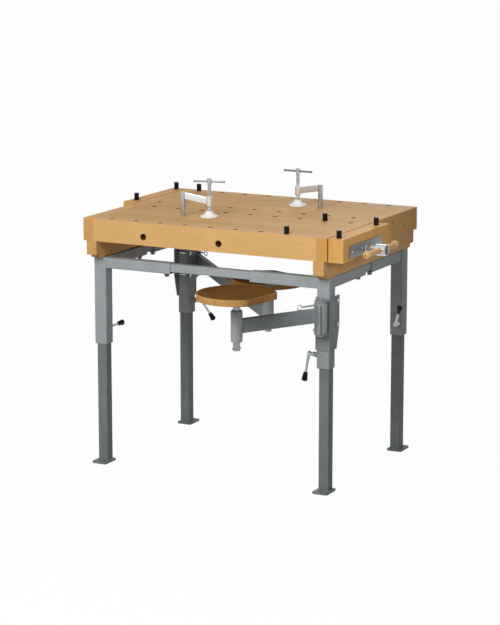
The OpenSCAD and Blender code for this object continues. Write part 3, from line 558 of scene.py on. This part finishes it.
# Cap plugs. Turned beech plugs cover the bolts that pull each end cap to the panel and aprons, set
# in flush with their end grain showing dark round the rim.
cap_face, plug_r = 500, 5.2
plug_form = [(-4, plug_r), (0.1, plug_r), (0.35, 4.6), (0.4, 0)]
plugs = [solid(plug_form, (cap_face, y, z), right, 24)
         for y, z in ((169, 918), (282, 888), (338, 926))]
# End grain: a shade browner than the board round it
plug_beech = beech("beech_plug_end_grain", "#B98A52", "#9C7040", turn=35, stave_mm=9,
                   length_mm=60, shift=(0.2, 0.1, 0))
both_ends = (("right", lambda parts: parts), ("left", half_turned))
for side, place in both_ends:
    piece("cap_plugs_" + side, "bench", plug_beech, place(plugs))

# Vise guides. A casting behind each end cap guides the two bars and holds the screw's nut: it is
# sand-cast grey iron, painted a dull dark grey.
cast_iron = coated_steel("dark_painted_casting", "#4A4D4F", "#3B3E40")
for side in ("right", "left"):
    eased_board("casting_" + side, side + "_nut", "bench", cast_iron, 1.5)

# Vise jaws. Each is a thick beech block with the grain along it, drilled for two dogs, the guide
# bars and the screw, and eased on every arris. It is the palest wood on the bench.
jaw_beech = beech("beech_jaw_block", "#E6B36C", "#D6A056", turn=90, stave_mm=116,
                  length_mm=1400, shift=(0.7, 0.058, 0.5))
for side in ("right", "left"):
    eased_board("jaw_block_" + side, side + "_jaw", side + "_jaw", jaw_beech, 1.5, bore_shade_beech)

# Vise plates and bars. A 5 mm steel plate with round corners is screwed to each jaw's front and
# carries the two turned guide bars; it is blued grey, its bars are ground bright.
vise_y, vise_z = -214, 886
plate_x, plate_z, plate_long, plate_high, plate_thick = 563, 892, 280, 45, 5
plate_front = plate_x + plate_thick
bar_start, bar_long, bar_off = 290.5, 275, 75
lying, faces = bored_plate(rounded_box(plate_long, plate_high, 9, 12), (0, vise_z - plate_z),
                           12.05, plate_thick, 0.7)
plate = [(lying[:, [2, 0, 1]] + (plate_x, vise_y, plate_z), faces)]
screw_head = [(-1, 4.4), (0.6, 4.4), (1.4, 3.9), (2.0, 2.8), (2.3, 1.2), (1.4, 0.7), (1.4, 0)]
plate_screws = [solid(screw_head, (plate_front, vise_y + share * plate_long, plate_z), right, 24)
                for share in (-0.42, -0.14, 0.16, 0.42)]
bar_form = [(0, 8.8), (1.2, 10), (bar_long, 10)]
bars = [solid(bar_form, (bar_start, vise_y + y, vise_z), right, 36) for y in (-bar_off, bar_off)]
# Blued steel: a mid grey metal, its gloss too wide to mirror anything
blued_steel = plated_steel("blued_steel_plate", "#8E8F8F", "#6F7172", 0.42, 4.0)
for side, place in both_ends:
    piece("vise_plate_" + side, side + "_jaw", blued_steel, place(plate), [side + "_carriage"])
    piece("vise_plate_screws_" + side, side + "_jaw", bright_zinc, place(plate_screws))
    piece("vise_bars_" + side, side + "_jaw", bright_zinc, place(bars))

# Vise screws. A square-cut screw runs in the casting; its plain neck and hub stand out of the plate
# and are turned, polished and chromed. The hub is cross-bored for the handle.
hub_x, handle_x, thread_start, thread_long, thread_pitch = 603, 625, 295, 268.5, 8
hub_form = [(0, 0), (0, 14.5), (0.8, 15.3), (3.5, 15.3), (4.2, 19.6), (5.6, 21), (42.4, 21),
            (44, 19.4), (44, 18.6), (42.8, 18.2), (42.8, 0)]
hub_face_form = [(-0.4, 0), (-0.4, 18.1), (0.3, 18.1), (0.5, 17.6), (0.5, 2.6), (0, 2), (0, 0)]


def bored(part, cutter):
    """A part with a cutter's form taken out by an exact Boolean, as points and faces again."""
    bodies = []
    for points, faces in (part, cutter):
        mesh = bpy.data.meshes.new("shop")
        mesh.from_pydata(points.tolist(), [], faces)
        cleaned(mesh, 0.001)
        bodies.append(in_scene("shop", mesh))
    cut = bodies[0].modifiers.new("bore", "BOOLEAN")
    cut.object = bodies[1]
    cut.solver = "EXACT"
    result = bpy.data.meshes.new_from_object(
        bodies[0].evaluated_get(bpy.context.evaluated_depsgraph_get()))
    for thing in bodies:
        bpy.data.objects.remove(thing)
    corners, first = read(result.loops, "vertex_index"), read(result.polygons, "loop_start")
    faces = [face.tolist() for face in np.split(corners, first[1:])]
    return read(result.vertices, "co", 3, "f4").astype(float), faces


hub = bored(solid(hub_form, (hub_x, vise_y, vise_z), right, 64),
            solid([(-40, 10.55), (40, 10.55)], (handle_x, vise_y, vise_z), back, 48))
neck = solid([(-4, 12), (0.2, 12), (36, 12)], (plate_front, vise_y, vise_z), right, 40)
collar = bush(15.5, 12.02, 2.6, (plate_front + 0.2, vise_y, vise_z), right, 0.6)
hub_face = solid(hub_face_form, (hub_x + 42.8, vise_y, vise_z), right, 48)
long_thread = thread((thread_start, vise_y, vise_z), right, thread_long, r=11, depth=1.6,
                     pitch=thread_pitch, steps=28, per_turn=8)
# Polished chrome: bright, mirrors its surroundings a little blurred
chrome = plated_steel("polished_chrome", "#D2D5D8", "#B4B8BC", 0.12, 5.0)
for side, place in both_ends:
    body = side + "_screw"
    piece("vise_hub_" + side, body, chrome, place([hub, neck, collar]), [body])
    piece("vise_hub_face_" + side, body, dark_zinc, place([hub_face]))
    piece("vise_thread_" + side, body, bright_zinc, place([long_thread]))

# Vise handles. A beech bar turned between centres with a ball at each end, sanded and waxed, slides
# through the hub; a small steel screw is set in each ball.
ball_off, ball_r, screw_off = 121, 15.5, 135.9
half_bar = [(0, 10.4), (98, 10.3), (104, 10.0)] + [
    (ball_off + ball_r * cos(t), ball_r * sin(t)) for t in np.radians(np.linspace(122, 12, 14))
] + [(136.3, 0)]
whole_bar = [(-a, r) for a, r in half_bar[:0:-1]] + half_bar
handle = solid(whole_bar, (handle_x, vise_y, vise_z), back, 40)
cap_form = [(0, 3.4), (0.5, 3.4), (0.9, 2.6), (0.5, 0.8), (0.5, 0)]
caps = [solid(cap_form, (handle_x, vise_y + s * screw_off, vise_z), (0, s, 0), 20)
        for s in (-1, 1)]
# Turned beech, sanded finer than the boards: pale, with a clearer sheen
handle_beech = beech("beech_turned_handle", "#E2B87F", "#D0A066", turn=90, stave_mm=300,
                     length_mm=1400, shift=(0.9, 0.1, 0.7), rough=0.42)
for side, place in both_ends:
    body = side + "_handle"
    piece("handle_bar_" + side, body, handle_beech, place([handle]), [body])
    piece("handle_screws_" + side, body, dark_zinc, place(caps))

# Bench dogs. Round pegs that stand in the holes and hold the work: black nylon, moulded with fine
# upright ribs, their heads eased.
dog_low, rib_deep, rib_count = 905, 0.55, 20


def ribbed(x, y):
    """A round peg whose radius dips between its ribs by a rounded cosine of the angle."""
    heights = np.array([0, 0.8, 40, 66.6, 67.6, 68])
    radii = np.array([8.2, 9.4, 9.4, 9.4, 8.8, 8.0])
    a = np.linspace(0, 2 * pi, 4 * rib_count, endpoint=False)
    r = radii[:, None] - rib_deep * (0.5 - 0.5 * np.cos(rib_count * a)) ** 2
    return skin(np.stack([x + r * np.cos(a), y + r * np.sin(a),
                          np.broadcast_to(dog_low + heights[:, None], r.shape)], -1))


# The same nylon with a smoother skin: black, its ribs drawn by thin grey highlights
dog_nylon = moulded("black_ribbed_nylon", "#161718", "#0A0A0B", 0.3, 2.0, 0.12)
for name, x, y in (("right_bench_outer", 328, -373), ("right_bench_inner", 328, -55),
                   ("right_jaw_outer", 534, -373), ("right_jaw_inner", 534, -55),
                   ("left_bench_outer", -431, 373), ("left_bench_inner", -328, 55),
                   ("left_jaw_outer", -534, 373), ("left_jaw_inner", -534, 55)):
    piece("ribbed_dog_" + name, "dog_" + name, dog_nylon, [ribbed(x, y)], ["dog_" + name])

# Holdfasts. A ground steel post stands in a dog hole; the flat arm welded to its top ends in a
# threaded boss. Post, arm and boss are satin nickel-plated.
dog_hole = (-187, -200, 945)
arm_start, arm_fall, arm_long, reach = 78.5, 19, 93, 102
flat_end = rounded_box(10, 25.5, 1.6, 4)
flat_arm = [np.column_stack([np.full(len(flat_end), d), flat_end[:, 0],
                             arm_start - arm_fall / reach * d + flat_end[:, 1]])
            for d in (0, arm_long)]
post_form = [(-62, 7.6), (-60.5, 9.45), (89.6, 9.45), (90.8, 8.4), (91, 7.0)]
hold_post = [solid(post_form, (0, 0, 0), up, 40)]
hold_arm = [skin(flat_arm), bush(11.5, 7.06, 37, (reach, 0, 41), up, 1.2),
            solid([(0, 11.4), (1, 12.4), (2, 11.4)], (reach, 0, 58), up, joined=True)]
# Satin nickel: a warm light grey metal with a soft gloss; the flat arms are painted a tone paler
# as the white reflection on their flats
nickel = plated_steel("satin_nickel_plate", "#C2C5C7", "#A4A8AA", 0.24, 4.0)
nickel_painted_sheen = plated_steel("nickel_plate_painted_sheen", "#E6E8E9", "#D6D8DA", 0.3, 4.0)
holdfasts = (("front", lambda parts: set_at(parts, 11, dog_hole)),
             ("rear", lambda parts: half_turned(set_at(parts, -7, dog_hole))))
for side, place in holdfasts:
    body = side + "_holdfast"
    piece("holdfast_post_" + side, body, nickel, place(hold_post), [body])
    piece("holdfast_arm_" + side, body, nickel_painted_sheen, place(hold_arm))

# Holdfast spindles. Each is a rolled thread of 14 mm with a turned head that a loose tee bar passes
# through, and a ball neck that holds the pad: nickel plate, worn dull on the bar.
head_form = [(122, 7.2), (123, 8.5), (144.6, 8.5), (145.8, 7.4), (146, 6.2)]
neck_form = [(12.6, 4.6), (13, 5), (24.4, 5), (25, 5.6), (29.6, 8.6), (31, 9), (31.9, 8.6),
             (32.7, 6.4)]
half_tee = [(54.5, 3.5), (56, 4.3), (58.8, 4.2), (59.5, 3.2), (59.5, 0)]
tee_form = [(-a, r) for a, r in half_tee[::-1]] + half_tee
tee_z, tee_way = 134, (cos(radians(6)), sin(radians(6)), 0)
screw_parts = [thread((reach, 0, 32.4), up, 89.6, r=7, depth=0.7, pitch=2, steps=24),
               solid(neck_form, (reach, 0, 0), up),
               solid(head_form, (reach, 0, 0), up)]
tee_bar = [solid(tee_form, (reach, 0, tee_z), tee_way, 20)]
# Handled nickel: dull and darker
worn_nickel = plated_steel("worn_nickel_bar", "#7E8285", "#5F6366", 0.3, 4.0)
for side, place in holdfasts:
    body = side + "_spindle"
    piece("holdfast_screw_" + side, body, nickel, place(screw_parts), [body])
    piece("holdfast_tee_" + side, body, worn_nickel, place(tee_bar))

# Holdfast pads. A white moulded foot clips on each spindle's neck: polyamide, with a broad rim that
# doesn't mark the wood and a hollow cone above it.
pad_rim, cone_high, neck_bore = 34, 17.4, 5.06
pad_profile = ([(0, 0), (0, pad_rim - 1.4), (1.2, pad_rim), (4.6, pad_rim), (6, pad_rim - 1.4)] +
               [(6 + cone_high * t, 27.5 - 16.5 * t ** 0.75) for t in np.linspace(0, 1, 9)] +
               [(23.7, 9.4), (23.7, neck_bore), (11.5, neck_bore), (11.5, 0)])
pad = [solid(pad_profile, (reach, 0, 0.3), up, 48)]
# White nylon: milky and satin, never quite white
white_nylon = moulded("white_moulded_nylon", "#F0F0EE", "#E2E2DF", 0.42, 2.5)
for side, place in holdfasts:
    piece("pad_" + side, side + "_pad", white_nylon, place(pad), [side + "_pad"])

# Seat brackets. A channel of folded 3.5 mm plate sits round each seat's leg, with two ears for the
# hinge barrel welded on: coated like the stand, and painted a little darker as shade.
bracket_coat_painted_shade = coated_steel("powder_coated_bracket_painted_shade", "#8F9597", "#82888A")
for side in ("front", "rear"):
    eased_board("folded_bracket_" + side, side + "_bracket", "bench", bracket_coat_painted_shade, 0.9)

# Bracket bolts and hinge pins. Two hexagon bolts behind the leg clamp each bracket, and a pin with
# hexagon heads carries the barrel: zinc-plated steel.
pivot_x, pivot_y, pin_low, pin_high = 467, -378, 592.7, 717.3
flange_left, flange_right, bolt_y, washer = 433.5, 490.5, -293.5, 0.8


def through_bolt(z):
    """A bolt from flange to flange: shank, then a hexagon head and a washer at each end."""
    low, high = (flange_left, bolt_y, z), (flange_right, bolt_y, z)
    disc = [(0, 8.6), (washer, 8.6)]
    return [solid([(0, 4), (flange_right - flange_left, 4)], low, right, 20),
            hexagon(15, 5.2, (flange_right + washer, bolt_y, z), right),
            hexagon(15, 5.2, (flange_left - washer, bolt_y, z), left),
            solid(disc, high, right, 28), solid(disc, low, left, 28)]


hinge_parts = through_bolt(704) + through_bolt(617) + [
    solid([(0, 8), (pin_high - pin_low, 8)], (pivot_x, pivot_y, pin_low), up, 32),
    hexagon(22, 6, (pivot_x, pivot_y, pin_low), down),
    hexagon(22, 6, (pivot_x, pivot_y, pin_high), up)]
piece("bracket_bolts", "bench", bright_zinc, hinge_parts + half_turned(hinge_parts),
      ["hinge_bolts"])

# Seat arms. A rectangular tube of 50 by 24 mm is welded between a barrel that turns on the hinge
# pin and a sleeve for the seat post; the rear arm is longer and falls. The tube is coated like the
# stand, and the turned ends are smoother under their coat. Each arm is laid along X from its pivot.
arm_y, arm_z, arm_wide, arm_high = 16, 668, 24, 50
barrel_low, barrel_long, sleeve_long = 600, 110, 109
upper_lug, lower_lug = 703, 612
ring_way = np.array([cos(radians(12)), sin(radians(12)), 0])


def seat_arm(length, fall):
    """Tube from the end plate to the sleeve, falling evenly, with a weld at its start."""
    slope = fall / length
    start, joint, end = ((x, arm_y, arm_z - x * slope) for x in (20, 23.2, length - 16.4))
    way = np.array([1, 0, -slope]) / np.hypot(1, slope)
    return [square_tube(arm_wide, arm_high, 3, start, end, back),
            weld(arm_wide, arm_high, 3, 2, joint, way, back)]


def arm_ends(length, fall):
    """Barrel, end plate and lugs round the pivot, and the bored sleeve with its collar."""
    low = arm_z - fall - sleeve_long / 2
    plate_path = [(x, arm_y, barrel_low + barrel_long / 2) for x in (18, 18.8, 22.2, 23)]
    outline = np.stack([rounded_box(28 - e, barrel_long - e, 2) for e in (1.2, 0, 0, 1.2)])
    return [bush(23, 8.05, barrel_long, (0, 0, barrel_low), up, 1.6, 48),
            skin(carried(outline, plate_path, back)),
            bush(7, 3.55, 9.5, ring_way * 22 + (0, 0, upper_lug), ring_way, 0.9, 28),
            solid([(21, 7), (30, 7), (31, 6.2), (31, 0)], (0, 0, lower_lug), ring_way, 28),
            bush(21, 13.05, sleeve_long, (length, arm_y, low), up, 1.2, 48),
            bush(18, 13.05, 4, (length, arm_y, low + sleeve_long), up, 0.8, 48)]


# The stand's coat, painted a little darker as the shade under the worktop's edge
arm_coat_painted_shade = coated_steel("powder_coated_seat_arm_painted_shade", "#8C9294", "#7F8588")
# The coat on turned steel: smoother, so a pale streak runs down each barrel
turned_coat = coated_steel("powder_coated_turned_steel", "#999EA1", "#8B9093", 0.45)
arms = (("front", 345, 8, lambda parts: set_at(parts, 234.9, (pivot_x, pivot_y, 0))),
        ("rear", 737, 88, lambda parts: half_turned(set_at(parts, 140.1, (pivot_x, pivot_y, 0)))))
for side, length, fall, place in arms:
    body = side + "_arm"
    piece("arm_tube_" + side, body, arm_coat_painted_shade, place(seat_arm(length, fall)), [side + "_seat_arm"])
    piece("arm_ends_" + side, body, turned_coat, place(arm_ends(length, fall)),
          [side + "_arm_fittings"])

# Ring screws. A screw bent into an eye runs through each barrel's upper lug and locks the arm on
# its pin: bright zinc-plated wire.
eye_off, eye_r, wire_r = 100, 9, 2
circle = np.linspace(0, 2 * pi, 12, endpoint=False)
lug = np.array([0, 0, upper_lug])
eye_form = np.column_stack([wire_r * np.sin(circle), eye_r + wire_r * np.cos(circle)])
eye = solid(eye_form, ring_way * eye_off + lug, np.cross(up, ring_way), 40, True)
ring_parts = [eye,
              thread(ring_way * 8.5 + lug, ring_way, 40, r=3.5, depth=0.45, pitch=1.25,
                     steps=16),
              solid([(48, 3.5), (80, 3.2), (87, 2.6), (90.5, 2)], lug, ring_way, 20)]
for side, _, _, place in arms:
    piece("eye_screw_" + side, side + "_ring", bright_zinc, place(ring_parts),
          [side + "_ring_screw"])

# Seat posts. A bright drawn tube of 26 mm slides in the sleeve under a round flange that is screwed
# to the board; a split pin near its foot stops it from being pulled out.
seat_tops = (780, 720)
post_foot, seat_thick, post_r, flange_r, flange_thick = 207, 24, 13, 55, 5


def seat_post(x, top):
    """Post, flange with its screws, bearing peg and split pin under a board at that height."""
    low, high = top - post_foot, top - seat_thick
    under = high - flange_thick
    forms = [([(low, 11.2), (low + 1.2, post_r), (under, post_r)], 40),
             ([(under, 53.8), (high - 4.2, flange_r), (high - 0.1, flange_r), (high, 54.6)], 56),
             ([(high - 0.5, 8), (high + 13, 8), (high + 13.7, 7)], 32)]
    parts = [solid(form, (x, arm_y, 0), up, steps) for form, steps in forms]
    parts.append(solid([(-19, 1.2), (-18, 2), (15, 2), (19, 1.9)], (x, arm_y, low + 8), right, 16))
    for a in (45, 135, 225, 315):
        at = (x + 42 * cos(radians(a)), arm_y + 42 * sin(radians(a)), under)
        parts.append(solid([(-0.5, 4), (0.8, 3.8), (1.8, 2.6), (2.2, 0)], at, down, 16))
    return parts


# Drawn tube: mid grey metal with a soft upright streak of light
drawn_steel = plated_steel("drawn_zinc_plated_tube", "#9C9FA2", "#7F8386", 0.34)
for (side, length, _, place), top in zip(arms, seat_tops):
    piece("post_" + side, side + "_post", drawn_steel, place(seat_post(length, top)),
          [side + "_seat_post"])

# Seat boards. Round boards of laminated beech with one flat edge, sawn out and rounded at the rim;
# the edge is a mid brown; the top is painted dark as shade. Each turns on the peg of its flange.
seat_r, seat_chord, rim_ease, peg_bore = 141, 114, 3, 8.05


def seat_board(x, top, flat_at):
    """Rings from the middle of the top round the rim to the bore.

    The rim is the nearer of the circle and the chord, and quarter circles ease its two arrises."""
    cut = np.arccos(seat_chord / seat_r)
    a = np.concatenate([np.linspace(-cut, cut, 15), np.linspace(cut, 2 * pi - cut, 98)[1:-1]])
    reach = np.minimum(seat_r, seat_chord / np.maximum(np.cos(a), 0.2))
    outline = np.column_stack([np.cos(a), np.sin(a)])
    curve = np.linspace(0, pi / 2, 6)
    edge = ([(-rim_ease * (1 - sin(t)), -rim_ease * (1 - cos(t))) for t in curve] +
            [(-rim_ease * (1 - cos(t)), -seat_thick + rim_ease * (1 - sin(t))) for t in curve])
    rings = stacked([(outline * reach[:, None] * share, 0) for share in (0, 0.35, 0.7)] +
                    [(outline * (reach + inset)[:, None], drop) for inset, drop in edge] +
                    [(outline * r, z)
                     for r, z in ((peg_bore, -seat_thick), (peg_bore, -10), (0, -10))])
    return set_at([skin(rings)], flat_at, (x, arm_y, top))


# Beech in two tones: mid brown and dull at the edge; on top dark brown painted shade, hardly glossy
seat_beech = beech("beech_seat_board", "#C69B5B", "#A67845", turn=20, stave_mm=62,
                   length_mm=1400, shift=(0.3, 0.6, 0.9), rough=0.55, shine=0.05)
seat_top_painted_shade = beech("beech_seat_top_painted_shade", "#704A1E", "#553612", turn=20, stave_mm=62,
                       length_mm=1400, shift=(0.3, 0.6, 0.9), rough=0.55, shine=0.02)
for (side, length, _, place), top, flat_at in zip(arms, seat_tops, (-245.3, 111.3)):
    board = piece("round_seat_" + side, side + "_board", seat_beech,
                  place(seat_board(length, top, flat_at)), [side + "_seat_board"], crisp=50)
    board.data.materials.append(seat_top_painted_shade)
    # Faces that look up take the dark painted shade; the rim keeps the mid brown
    faces_up = read(board.data.polygons, "normal", 3, "f4")[:, 2] > 0.9
    board.data.polygons.foreach_set("material_index", faces_up.astype("i4"))

# Studio. A white floor keeps the bench's shadow, and the world is white to the camera and to gloss.
# A large soft lamp stands high in front, a weaker one at the back, and a small one at the right,
# whose narrow beam falls on the bench's right end.
floor_half, floor_z, world_light = 30.0, -0.0005, 0.18


def white_to_camera(tree, shader, out, seen_white):
    """Camera, glossy and transmission rays see white mixed over the shader, the others only it."""
    path = add(tree, "ShaderNodeLightPath")
    gloss = add(tree, "ShaderNodeMath",
                {0: path.outputs["Is Camera Ray"], 1: path.outputs["Is Glossy Ray"]},
                operation="MAXIMUM")
    seen = add(tree, "ShaderNodeMath",
               {0: gloss, 1: path.outputs["Is Transmission Ray"]}, operation="MAXIMUM")
    share = add(tree, "ShaderNodeMath", {0: seen, 1: seen_white}, operation="MULTIPLY")
    white = add(tree, "ShaderNodeEmission" if out == "Material Output" else "ShaderNodeBackground",
                {0: linear("#FFFFFF"), 1: 1.0})
    both = add(tree, "ShaderNodeMixShader", {0: share, 1: shader, 2: white})
    tree.links.new(both.outputs[0], tree.nodes[out].inputs["Surface"])


# Matt white paper: it shows almost pure white and takes only the shadow's trace
floor_paper, tree, shader = finish("white_paper_floor", Base_Color=linear("#C8C8C6"), Roughness=0.9)
white_to_camera(tree, shader, "Material Output", 0.98)
span = np.array([-floor_half, floor_half])
gx, gy = np.meshgrid(span, span, indexing="ij")
floor_mesh = bpy.data.meshes.new("studio_floor")
floor_mesh.from_pydata(np.stack([gx, gy, 0 * gx + floor_z], -1).reshape(-1, 3).tolist(), [],
                       [[0, 2, 3, 1]])
floor_mesh.materials.append(floor_paper)
in_scene("studio_floor", floor_mesh)

world = bpy.data.worlds.new("studio_world")
bpy.context.scene.world = world
world.use_nodes = True
soft = world.node_tree.nodes["Background"]
soft.inputs[0].default_value = linear("#FFFFFF")
soft.inputs[1].default_value = world_light
white_to_camera(world.node_tree, soft, "World Output", 1.0)


def lamp(name, at, aim, size, power, shine, spread=180):
    """A square soft lamp at a point in metres, facing another, its light within a spread."""
    light = bpy.data.lights.new(name, "AREA")
    light.size = size
    light.energy = power
    light.spread = radians(spread)
    light.specular_factor = shine
    thing = in_scene(name, light)
    thing.location = at
    thing.rotation_euler = (Vector(aim) - Vector(at)).to_track_quat("-Z", "Y").to_euler()


lamp("key_lamp", (0.1, -3.7, 3.1), (0, 0.1, 0.7), size=1.9, power=156, shine=0.3)
lamp("back_lamp", (-0.6, 3.4, 2.7), (0, 0, 0.7), size=1.6, power=18, shine=0.0)
lamp("side_lamp", (2.6, -1.3, 1.75), (0.6, -0.1, 1.06), size=0.5, power=0.42, shine=0.1, spread=22)

# Camera. It stands where the photograph was taken from, in front of the bench, to the right and
# above. Its focal length and the middle of its view are in the photograph's pixels.
frame_wide, frame_high, sensor_mm = 500, 625, 36
focal_px, axis_px = 2324.245, (249.56, 312.94)
looks_down, stands_round = 11.6926, 27.2613
eye_lens = bpy.data.cameras.new("photo_camera")
eye_lens.sensor_width = sensor_mm
eye_lens.lens = focal_px / frame_high * sensor_mm
eye_lens.shift_x = (frame_wide / 2 - axis_px[0]) / frame_high
eye_lens.shift_y = (axis_px[1] - frame_high / 2) / frame_high
eye_lens.clip_end = 100
camera = in_scene("photo_camera", eye_lens)
camera.location = (3.94546, -7.68118 + middle_y, 2.34473)
camera.rotation_euler = (radians(90 - looks_down), 0, radians(stands_round))
bpy.context.scene.camera = camera
bpy.context.scene.view_settings.view_transform = "Standard"
